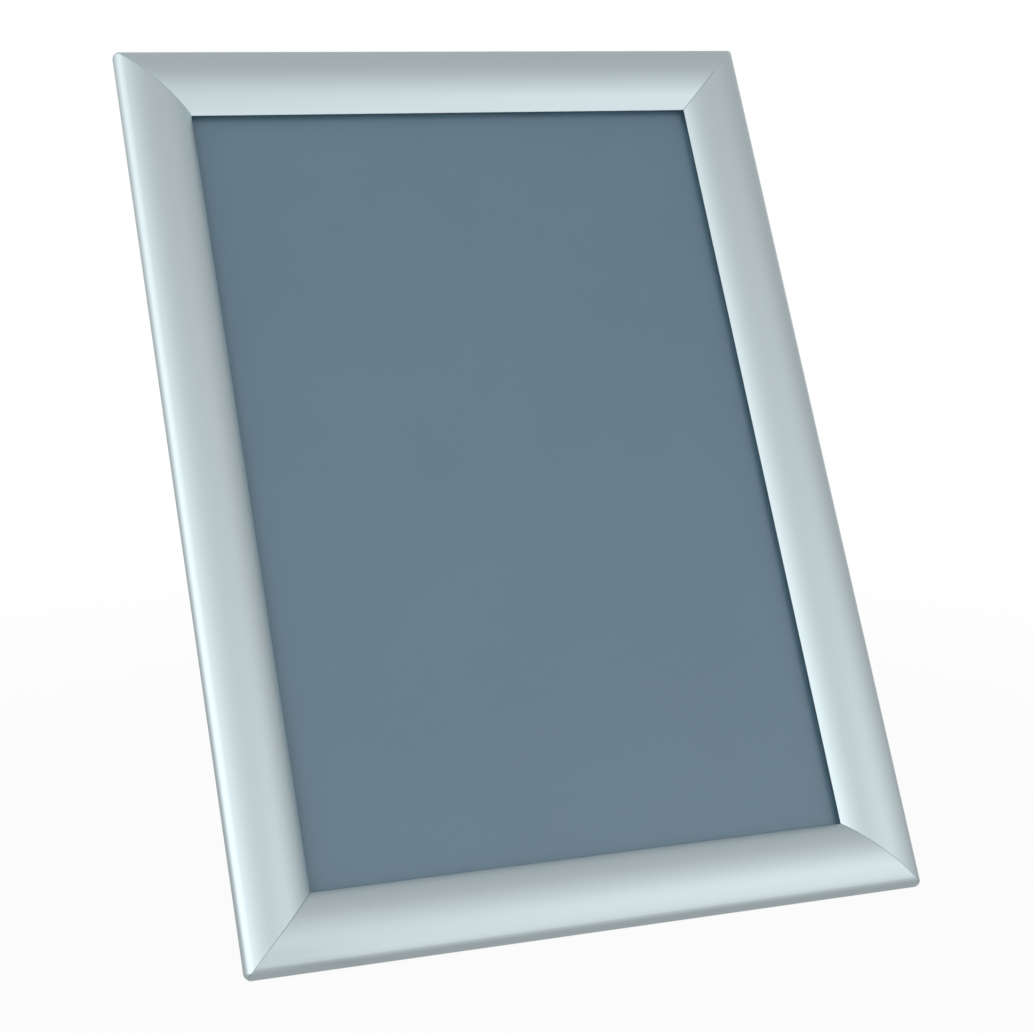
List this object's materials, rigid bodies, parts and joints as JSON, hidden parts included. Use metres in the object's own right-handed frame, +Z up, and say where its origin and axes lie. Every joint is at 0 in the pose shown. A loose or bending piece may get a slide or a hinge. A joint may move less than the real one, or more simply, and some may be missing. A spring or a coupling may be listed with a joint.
{
  "type": "poster snap frame",
  "caption": "Mitred aluminium snap frame with rounded, hinged front rails over a clear cover and a grey back panel, leaning back on a fold-out easel strut.",
  "frame": {"origin": "on the table, at the centre of the object's footprint box", "axes": "+X to the right seen from the front, +Z up, the front faces -Y and leans back 30 degrees"},
  "size_m": [0.24, 0.1686, 0.2844],
  "materials": {
    "satin_anodised_aluminium": "satin anodised, drawn along the rail",
    "base_aluminium": "mill finish",
    "zinc_steel": "zinc plated",
    "spring_steel": "blued spring strip",
    "grey_polystyrene": "matt blue-grey",
    "clear_cover": "clear, with a dull anti-glare surface",
    "foam_tape": "foam",
    "dark_plastic": "fine moulded texture",
    "rubber": "matt"
  },
  "bodies": {
    "frame": {"base_rail_top": "base_aluminium", "base_rail_bottom": "base_aluminium", "base_rail_left": "base_aluminium", "base_rail_right": "base_aluminium", "corner_key_1": "zinc_steel", "corner_key_2": "zinc_steel", "corner_key_3": "zinc_steel", "corner_key_4": "zinc_steel", "snap_spring_top_1": "spring_steel", "snap_spring_top_2": "spring_steel", "snap_spring_bottom_1": "spring_steel", "snap_spring_bottom_2": "spring_steel", "snap_spring_left_1": "spring_steel", "snap_spring_left_2": "spring_steel", "snap_spring_right_1": "spring_steel", "snap_spring_right_2": "spring_steel", "back_panel": "grey_polystyrene", "cover_sheet": "clear_cover", "strut_tape": "foam_tape", "strut_plate": "dark_plastic", "strut_pin": "zinc_steel"},
    "top_snap_rail": {"snap_rail_top": "satin_anodised_aluminium"},
    "bottom_snap_rail": {"snap_rail_bottom": "satin_anodised_aluminium"},
    "left_snap_rail": {"snap_rail_left": "satin_anodised_aluminium"},
    "right_snap_rail": {"snap_rail_right": "satin_anodised_aluminium"},
    "strut": {"strut_leg": "dark_plastic", "strut_foot": "rubber"}
  },
  "joints": [
    {"name": "top_snap_hinge", "type": "hinge", "parent": "frame", "child": "top_snap_rail", "pos_m": [0, 0.08172, 0.28047], "axis": [-1, 0, 0], "range_deg": [0, 90], "deforming": ["snap_spring_top_1", "snap_spring_top_2"]},
    {"name": "bottom_snap_hinge", "type": "hinge", "parent": "frame", "child": "bottom_snap_rail", "pos_m": [0, -0.07903, 0.00204], "axis": [1, 0, 0], "range_deg": [0, 90], "deforming": ["snap_spring_bottom_1", "snap_spring_bottom_2"]},
    {"name": "left_snap_hinge", "type": "hinge", "parent": "frame", "child": "left_snap_rail", "pos_m": [-0.11725, 0.00134, 0.14126], "axis": [0, -0.5, -0.866], "range_deg": [0, 90], "deforming": ["snap_spring_left_1", "snap_spring_left_2"]},
    {"name": "right_snap_hinge", "type": "hinge", "parent": "frame", "child": "right_snap_rail", "pos_m": [0.11725, 0.00134, 0.14126], "axis": [0, 0.5, 0.866], "range_deg": [0, 90], "deforming": ["snap_spring_right_1", "snap_spring_right_2"]},
    {"name": "strut_fold", "type": "hinge", "parent": "frame", "child": "strut", "pos_m": [0, 0.02682, 0.16869], "axis": [1, 0, 0], "range_deg": [-45, 0]}
  ]
}
